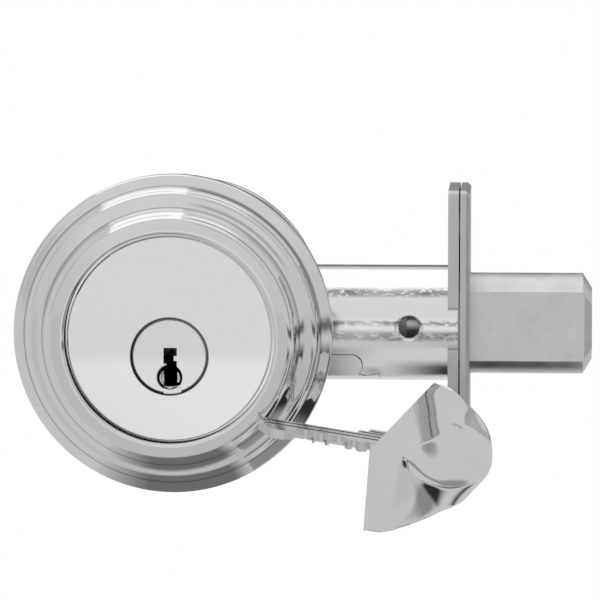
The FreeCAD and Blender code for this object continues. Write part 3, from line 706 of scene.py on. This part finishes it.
class LOCK_OT_grip(Operator):
    """Shapes the twisted thumbturn grip"""
    bl_idname = "lock.grip"
    bl_label = "Thumbturn Grip"

    def execute(self, context):
        settings = context.scene.lock_shape
        rows = [grip_points(place, settings) for place in STATIONS]
        count = len(rows[0])
        piece = begin_loop("grip_thumbturn", count, 6 * MM, rows[0][0].y, True)
        mesh = bmesh.from_edit_mesh(piece.data)
        ring = [vert for face in mesh.faces for vert in face.verts]
        start = [vert.co.copy() for vert in ring]
        self.place_row(piece, start, rows[0])
        for row, following in zip(rows, rows[1:]):
            self.pick_end(piece, row)
            step = following[0].y - row[0].y
            bpy.ops.mesh.extrude_region_move(TRANSFORM_OT_translate={"value": (0, step, 0)})
            shifted = [point + Vector((0, step, 0)) for point in row]
            self.place_row(piece, shifted, following)
        last = count - 1
        for point, sharp, low, high in NEAR_EDGES:
            crease(piece, pairs_along(rows, point, low, high), sharp)
        for point, sharp, low, high in FAR_EDGES:
            crease(piece, pairs_along(rows, last - 1 - point, low, high), sharp)
        for row in (rows[0], rows[-1]):
            foot = row[last - 2:] + row[:3]
            crease(piece, list(zip(foot, foot[1:])), 1.0)
        turn_faces_out()
        bpy.ops.object.mode_set(mode="OBJECT")
        subdivided(piece, 3)
        bpy.ops.object.shade_smooth_by_angle(angle=math.radians(35))
        up = -GRIP_OUT.cross(GRIP_ALONG)
        turn = Matrix((GRIP_OUT, GRIP_ALONG, up)).transposed().to_4x4()
        piece.matrix_world = Matrix.Translation(GRIP_BASE * MM) @ turn
        bpy.ops.object.transform_apply(location=True, rotation=True, scale=True)
        # the placing mirrors the grip, so its faces are turned outward again
        bpy.ops.object.mode_set(mode="EDIT")
        turn_faces_out()
        bpy.ops.object.mode_set(mode="OBJECT")
        dressed(piece, "chrome_grip")
        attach(piece, "thumbturn_key")
        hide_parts("key_grip")
        return {"FINISHED"}

    def place_row(self, piece, before, after):
        """Moves the points of one row from where they are to where they belong."""
        for old, new in zip(before, after):
            mesh = bmesh.from_edit_mesh(piece.data)
            vert = nearest(mesh, old)
            move = new - vert.co
            select_verts(mesh, [vert])
            bmesh.update_edit_mesh(piece.data)
            if move.length > 1e-9:
                bpy.ops.transform.translate(value=move)

    def pick_end(self, piece, row):
        """Selects the flat end that the next row grows from."""
        mesh = bmesh.from_edit_mesh(piece.data)
        end = max(mesh.faces, key=lambda face: (len(face.verts) == len(row),
                                                face.calc_center_median().y))
        select_verts(mesh, [])
        mesh.select_mode = {"FACE"}
        end.select = True
        bmesh.update_edit_mesh(piece.data)


# --- stage ------------------------------------------------------------------------
def flat_panel(name, across, along, height, material):
    """A level sheet on the stage, between two places in X and two in Y."""
    (x0, x1), (y0, y1) = across, along
    mesh = bpy.data.meshes.new(name)
    mesh.from_pydata([(x0, y0, height), (x1, y0, height), (x1, y1, height),
                      (x0, y1, height)], [], [(0, 1, 2, 3)])
    panel = bpy.data.objects.new(name, mesh)
    bpy.context.collection.objects.link(panel)
    panel.data.materials.append(material)
    return panel


def window(tree, value, low, high, soft):
    """1 between two angles in degrees, 0 outside, with soft edges."""
    sides = []
    for edge, ends in ((low, (0.0, 1.0)), (high, (1.0, 0.0))):
        node = tree.nodes.new("ShaderNodeMapRange")
        node.interpolation_type = "SMOOTHSTEP"
        node.inputs["From Min"].default_value = math.radians(edge - soft)
        node.inputs["From Max"].default_value = math.radians(edge + soft)
        node.inputs["To Min"].default_value = ends[0]
        node.inputs["To Max"].default_value = ends[1]
        wire(tree, value, node.inputs["Value"])
        sides.append(node.outputs["Result"])
    return maths(tree, "MULTIPLY", sides[0], sides[1])


# everything on the stage is in metres
TARGET = Vector((0.0247, 0.0, 0.00454))   # point that the camera looks at
LAMP_AIM = Vector((0.02, 0.0, 0.0))       # point that the lamps look at
FLOOR_DROP = 0.002                        # floor below the lowest piece
FLOOR_X = (-3.0, 3.0)
FLOOR_Y = (-0.39, 3.0)
# lamps: name, place, size, watts
LAMPS = (("top_light", (-0.3, -0.5, 1.1), 0.9, 4.0),
         ("left_light", (-1.0, -0.7, 0.4), 0.7, 2.0))
# dark cards under the lock: name, height, soft-edged stretch of X and of Y, brightness
CARDS = (("ring_flag", -0.075, (-0.045, -0.015, 0.026, 0.036),
          (-0.092, -0.068, 0.05, 0.06), 0.17),
         ("barrel_flag", -0.060, (0.040, 0.054, 0.08, 0.09),
          (-0.024, -0.004, 0.026, 0.030), 0.02))
CARD_EDGE = 0.62                          # brightness that a card fades to
GROUND, AIR = 0.90, 0.79                  # brightness below and above the horizon
HORIZON = (-0.1155, -0.1125)              # its slope, as the height of a direction
# patches of air: from, to and softness of the angle round the lock's face, the same
# of the angle away from straight out, all in degrees, and brightness
STUDIO = (
    ((-200, 200, 1), (15, 200, 4), 0.64),
    ((30, 150, 15), (18, 60, 6), 0.72),
    ((-178, -2, 3), (10.5, 46, 2.5), 0.58),
    ((58, 88, 8), (64, 122, 4), 0.95),
    ((0, 86, 6), (88, 100, 3), 0.32),
    ((88, 126, 1.2), (70, 136, 3), 1.15),
    ((94, 130, 2), (104, 110, 2), 0.60),
    ((0, 118, 5), (152, 178, 4), 0.16),
    ((-74, -34, 8), (40, 80, 8), 0.28),
    ((-118, -66, 10), (98, 130, 9), 0.34),
    ((-128, -46, 12), (136, 180, 4), 0.70),
    ((28, 84, 8), (31, 44, 4), 0.45),
    ((-43, -13, 4), (44, 84, 6), 0.03),
    ((-38, -14, 4), (102, 114, 6), 0.10),
    ((-6, -1, 2), (40, 100, 8), 0.12),
    ((146, 176, 5), (60, 84, 5), 0.52),
)


def studio_world():
    """Direction painted air: soft lamps, a horizon and dark flags, white to the eye."""
    world = bpy.data.worlds.new("studio_air")
    world.use_nodes = True
    tree = world.node_tree
    coords = tree.nodes.new("ShaderNodeTexCoord")
    split = tree.nodes.new("ShaderNodeSeparateXYZ")
    wire(tree, coords.outputs["Generated"], split.inputs[0])
    x, y, z = split.outputs
    away = maths(tree, "ARCCOSINE", maths(tree, "MULTIPLY", y, -1.0))
    around = maths(tree, "ARCTAN2", z, x)
    value = spread(tree, z, *HORIZON, GROUND, AIR)
    for turn, tilt, level in STUDIO:
        mask = maths(tree, "MULTIPLY", window(tree, around, *turn), window(tree, away, *tilt))
        lift = maths(tree, "MULTIPLY", mask, maths(tree, "SUBTRACT", level, value))
        value = maths(tree, "ADD", value, lift)
    light_path = tree.nodes.new("ShaderNodeLightPath")
    seen = light_path.outputs["Is Camera Ray"]
    lift = maths(tree, "MULTIPLY", seen, maths(tree, "SUBTRACT", 1.0, value))
    value = maths(tree, "ADD", value, lift)
    wire(tree, value, tree.nodes["Background"].inputs["Color"])
    bpy.context.scene.world = world


def floor_material():
    """Pale paper that shows as clean white to the camera."""
    material = bpy.data.materials.new("pale_floor")
    material.use_nodes = True
    tree = material.node_tree
    shader = tree.nodes["Principled BSDF"]
    shader.inputs["Base Color"].default_value = (0.93, 0.93, 0.93, 1.0)
    shader.inputs["Roughness"].default_value = 0.6
    glow = tree.nodes.new("ShaderNodeEmission")
    glow.inputs["Strength"].default_value = 1.0
    mix = tree.nodes.new("ShaderNodeMixShader")
    light_path = tree.nodes.new("ShaderNodeLightPath")
    wire(tree, light_path.outputs["Is Camera Ray"], mix.inputs[0])
    wire(tree, shader.outputs[0], mix.inputs[1])
    wire(tree, glow.outputs[0], mix.inputs[2])
    wire(tree, mix.outputs[0], tree.nodes["Material Output"].inputs["Surface"])
    return material


def flag_card(name, height, across, along, dark):
    """A dark card lying under the lock, with soft edges, seen only in reflections."""
    material = bpy.data.materials.new(name)
    material.use_nodes = True
    tree = material.node_tree
    x, y, _ = object_axes(tree)
    mask = None
    for value, (low, full_low, full_high, high) in ((x, across), (y, along)):
        rise = spread(tree, value, low, full_low)
        fall = spread(tree, value, full_high, high, 1.0, 0.0)
        side = maths(tree, "MULTIPLY", rise, fall)
        mask = side if mask is None else maths(tree, "MULTIPLY", mask, side)
    glow = tree.nodes.new("ShaderNodeEmission")
    wire(tree, spread(tree, mask, 0.0, 1.0, CARD_EDGE, dark), glow.inputs["Color"])
    wire(tree, glow.outputs[0], tree.nodes["Material Output"].inputs["Surface"])
    card = flat_panel(name, (across[0], across[3]), (along[0], along[3]), height, material)
    card.visible_camera = False
    card.visible_diffuse = False
    card.visible_shadow = False


class LOCK_OT_stage(Operator):
    """Sets the pale floor, the soft light and the camera"""
    bl_idname = "lock.stage"
    bl_label = "Stage"

    def execute(self, context):
        settings = context.scene.lock_stage
        context.scene.view_settings.view_transform = "Standard"
        studio_world()
        floor = flat_panel("floor", FLOOR_X, FLOOR_Y, CAD_BOX[0][2] - FLOOR_DROP,
                           floor_material())
        floor.visible_glossy = False
        for card in CARDS:
            flag_card(*card)
        around, above = settings.camera_azimuth, settings.camera_elevation
        back = Vector((math.sin(around) * math.cos(above), -math.cos(around) * math.cos(above),
                       math.sin(above)))
        data = bpy.data.cameras.new("camera")
        data.lens = settings.camera_lens
        data.clip_start = 0.01
        camera = bpy.data.objects.new("camera", data)
        context.collection.objects.link(camera)
        camera.location = TARGET + back * settings.camera_distance
        camera.rotation_euler = (-back).to_track_quat("-Z", "Y").to_euler()
        context.scene.camera = camera
        for name, at, size, power in LAMPS:
            lamp = bpy.data.lights.new(name, "AREA")
            lamp.size = size
            lamp.energy = power
            light = bpy.data.objects.new(name, lamp)
            context.collection.objects.link(light)
            light.location = at
            aim = LAMP_AIM - Vector(at)
            light.rotation_euler = aim.to_track_quat("-Z", "Y").to_euler()
            light.visible_glossy = False
        return {"FINISHED"}


class LOCK_PT_panel(Panel):
    bl_idname = "LOCK_PT_panel"
    bl_label = "Deadbolt"
    bl_space_type = "VIEW_3D"
    bl_region_type = "UI"
    bl_category = "Deadbolt"

    def draw(self, context):
        for operator in OPERATORS:
            self.layout.operator(operator.bl_idname)
        scene = context.scene
        for group in (scene.lock_finish, scene.lock_shape, scene.lock_stage):
            for name in group.__annotations__:
                self.layout.prop(group, name)


OPERATORS = (LOCK_OT_finishes, LOCK_OT_frame_pieces, LOCK_OT_trim_ring, LOCK_OT_grip,
             LOCK_OT_stage)
SETTINGS = (LockFinishSettings, LockShapeSettings, LockStageSettings)


def register():
    for cls in SETTINGS + OPERATORS + (LOCK_PT_panel,):
        bpy.utils.register_class(cls)
    bpy.types.Scene.lock_finish = PointerProperty(type=LockFinishSettings)
    bpy.types.Scene.lock_shape = PointerProperty(type=LockShapeSettings)
    bpy.types.Scene.lock_stage = PointerProperty(type=LockStageSettings)


def unregister():
    del bpy.types.Scene.lock_stage
    del bpy.types.Scene.lock_shape
    del bpy.types.Scene.lock_finish
    for cls in reversed(SETTINGS + OPERATORS + (LOCK_PT_panel,)):
        bpy.utils.unregister_class(cls)


def main():
    register()
    for operator in OPERATORS:
        group, name = operator.bl_idname.split(".")
        getattr(getattr(bpy.ops, group), name)()


if __name__ == "__main__":
    main()
